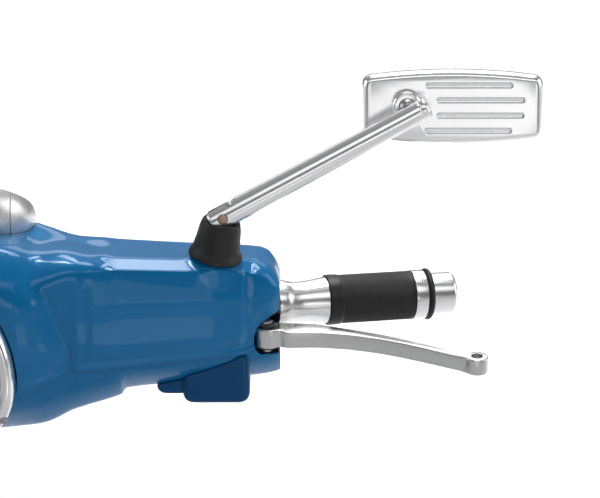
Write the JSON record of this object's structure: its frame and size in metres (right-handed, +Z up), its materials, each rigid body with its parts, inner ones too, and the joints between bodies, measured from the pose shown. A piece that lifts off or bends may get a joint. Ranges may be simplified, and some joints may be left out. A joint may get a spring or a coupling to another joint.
{
  "type": "moped handlebar head",
  "caption": "Scooter handlebar head: glossy casing with headlight, swept grips, brake levers, mirrors on rods and instruments, turning on a raked steering tube.",
  "frame": {"origin": "centre of the flat lower face of the steering tube, on the steering axis", "axes": "+X towards the rider's left hand, +Y rearwards to the rider, +Z up; the front of the scooter faces -Y"},
  "size_m": [0.878, 0.1821, 0.3715],
  "materials": {
    "paint": "glossy blue paint",
    "polished_aluminium": "polished",
    "lever_aluminium": "satin, lightly polished",
    "chrome": "mirror polished",
    "grip_rubber": "matt, cross-hatched knurl",
    "black_rubber": "matt",
    "black_plastic": "fine grain",
    "red_plastic": "satin",
    "pump_casting": "black coated casting",
    "steel": "bright zinc",
    "bronze_pin": "satin",
    "clear_glass": "clear",
    "mirror_glass": "silvered",
    "dial_face": "printed face, plain"
  },
  "bodies": {
    "steering_head": {"head_tube": "paint", "bearing_cup": "steel"},
    "bars": {"steering_stem": "steel", "bearing_cone": "steel", "bearing_lock_nut": "steel", "handlebar": "steel", "pinch_bolt": "steel", "front_cover": "paint", "rear_cover": "paint", "headlight_bezel": "chrome", "headlight_reflector": "chrome", "headlight_lens": "clear_glass", "headlight_bulb": "clear_glass", "cluster_housing": "chrome", "cluster_dial": "dial_face", "cluster_glass": "clear_glass", "grip_sleeve_left": "polished_aluminium", "grip_rubber_left": "grip_rubber", "bar_end_cap_left": "polished_aluminium", "bar_end_seal_left": "black_rubber", "brake_pump_left": "pump_casting", "pump_cover_left": "paint", "end_plate_left": "black_plastic", "lever_pivot_bolt_left": "steel", "switch_block_left": "black_plastic", "bar_end_cap_right": "polished_aluminium", "bar_end_seal_right": "black_rubber", "brake_pump_right": "pump_casting", "pump_cover_right": "paint", "end_plate_right": "black_plastic", "lever_pivot_bolt_right": "steel", "switch_block_right": "black_plastic"},
    "brake_lever_left": {"brake_lever_left": "lever_aluminium"},
    "pump_piston_left": {"pump_piston_left": "steel"},
    "mirror_mast_left": {"mirror_boot_left": "black_rubber", "mirror_stem_left": "steel", "mirror_pin_left": "bronze_pin"},
    "mirror_arm_left": {"mirror_arm_left": "chrome", "mirror_ball_left": "steel"},
    "mirror_head_left": {"mirror_housing_left": "polished_aluminium", "mirror_glass_left": "mirror_glass"},
    "brake_lever_right": {"brake_lever_right": "lever_aluminium"},
    "pump_piston_right": {"pump_piston_right": "steel"},
    "mirror_mast_right": {"mirror_boot_right": "black_rubber", "mirror_stem_right": "steel", "mirror_pin_right": "bronze_pin"},
    "mirror_arm_right": {"mirror_arm_right": "chrome", "mirror_ball_right": "steel"},
    "mirror_head_right": {"mirror_housing_right": "polished_aluminium", "mirror_glass_right": "mirror_glass"},
    "throttle": {"grip_sleeve_right": "polished_aluminium", "grip_rubber_right": "grip_rubber"},
    "horn": {"horn_button": "black_plastic"},
    "turn_signal": {"turn_signal_slider": "black_plastic"},
    "beam": {"beam_rocker": "black_plastic"},
    "start": {"start_button": "black_plastic"},
    "stop": {"stop_rocker": "red_plastic"},
    "needle": {"speed_needle": "red_plastic"}
  },
  "joints": [
    {"name": "steer", "type": "hinge", "parent": "steering_head", "child": "bars", "pos_m": [0, 0, 0], "axis": [0, 0.4067, 0.9135], "range_deg": [-38, 38]},
    {"name": "lever_left", "type": "hinge", "parent": "bars", "child": "brake_lever_left", "pos_m": [0.2425, 0.08038, 0.16968], "axis": [0, -0.1908, 0.9816], "range_deg": [0, 16], "stiffness_Nm_per_rad": 1.5, "springref_deg": -5.73},
    {"name": "piston_left", "type": "slide", "parent": "bars", "child": "pump_piston_left", "axis": [-0.9659, -0.2588, 0], "range_m": [0, 0.0034]},
    {"name": "mirror_swivel_left", "type": "hinge", "parent": "bars", "child": "mirror_mast_left", "pos_m": [0.206, 0.07638, 0.22878], "axis": [0.1792, -0.1822, 0.9668], "range_deg": [-25, 25]},
    {"name": "mirror_fold_left", "type": "hinge", "parent": "mirror_mast_left", "child": "mirror_arm_left", "pos_m": [0.212, 0.06938, 0.25828], "axis": [0, -1, 0], "range_deg": [-10, 10]},
    {"name": "mirror_tilt_left", "type": "hinge", "parent": "mirror_arm_left", "child": "mirror_head_left", "pos_m": [0.342, 0.08198, 0.33528], "axis": [1, 0, 0], "range_deg": [-10, 10]},
    {"name": "lever_right", "type": "hinge", "parent": "bars", "child": "brake_lever_right", "pos_m": [-0.2425, 0.08038, 0.16968], "axis": [0, 0.1908, -0.9816], "range_deg": [0, 16], "stiffness_Nm_per_rad": 1.5, "springref_deg": -5.73},
    {"name": "piston_right", "type": "slide", "parent": "bars", "child": "pump_piston_right", "axis": [0.9659, -0.2588, 0], "range_m": [0, 0.0034]},
    {"name": "mirror_swivel_right", "type": "hinge", "parent": "bars", "child": "mirror_mast_right", "pos_m": [-0.206, 0.07638, 0.22878], "axis": [-0.1792, -0.1822, 0.9668], "range_deg": [-25, 25]},
    {"name": "mirror_fold_right", "type": "hinge", "parent": "mirror_mast_right", "child": "mirror_arm_right", "pos_m": [-0.212, 0.06938, 0.25828], "axis": [0, 1, 0], "range_deg": [-10, 10]},
    {"name": "mirror_tilt_right", "type": "hinge", "parent": "mirror_arm_right", "child": "mirror_head_right", "pos_m": [-0.342, 0.08198, 0.33528], "axis": [1, 0, 0], "range_deg": [-10, 10]},
    {"name": "throttle", "type": "hinge", "parent": "bars", "child": "throttle", "pos_m": [-0.30318, 0.12115, 0.18728], "axis": [-0.9659, 0.2588, 0], "range_deg": [0, 75], "stiffness_Nm_per_rad": 0.25},
    {"name": "horn_press", "type": "slide", "parent": "bars", "child": "horn", "axis": [0.2588, -0.9659, 0], "range_m": [0, 0.002], "stiffness_N_per_m": 300},
    {"name": "start_press", "type": "slide", "parent": "bars", "child": "start", "axis": [-0.2588, -0.9659, 0], "range_m": [0, 0.002], "stiffness_N_per_m": 300},
    {"name": "turn_signal_slide", "type": "slide", "parent": "bars", "child": "turn_signal", "axis": [0.9659, 0.2588, 0], "range_m": [-0.0037, 0.0037], "stiffness_N_per_m": 60},
    {"name": "beam_rock", "type": "hinge", "parent": "bars", "child": "beam", "pos_m": [0.20385, 0.12869, 0.19978], "axis": [0, 0, 1], "range_deg": [-6, 6]},
    {"name": "stop_rock", "type": "hinge", "parent": "bars", "child": "stop", "pos_m": [-0.20385, 0.12869, 0.19628], "axis": [0, 0, 1], "range_deg": [-6, 6]},
    {"name": "speed_needle", "type": "hinge", "parent": "bars", "child": "needle", "pos_m": [0, 0.09138, 0.25228], "axis": [0, -0.5878, -0.809], "range_deg": [0, 240], "stiffness_Nm_per_rad": 0.001}
  ],
  "couplings": [
    {"joint": "piston_left", "follows": "lever_left", "m_per_rad": 0.0112},
    {"joint": "piston_right", "follows": "lever_right", "m_per_rad": 0.0112}
  ]
}
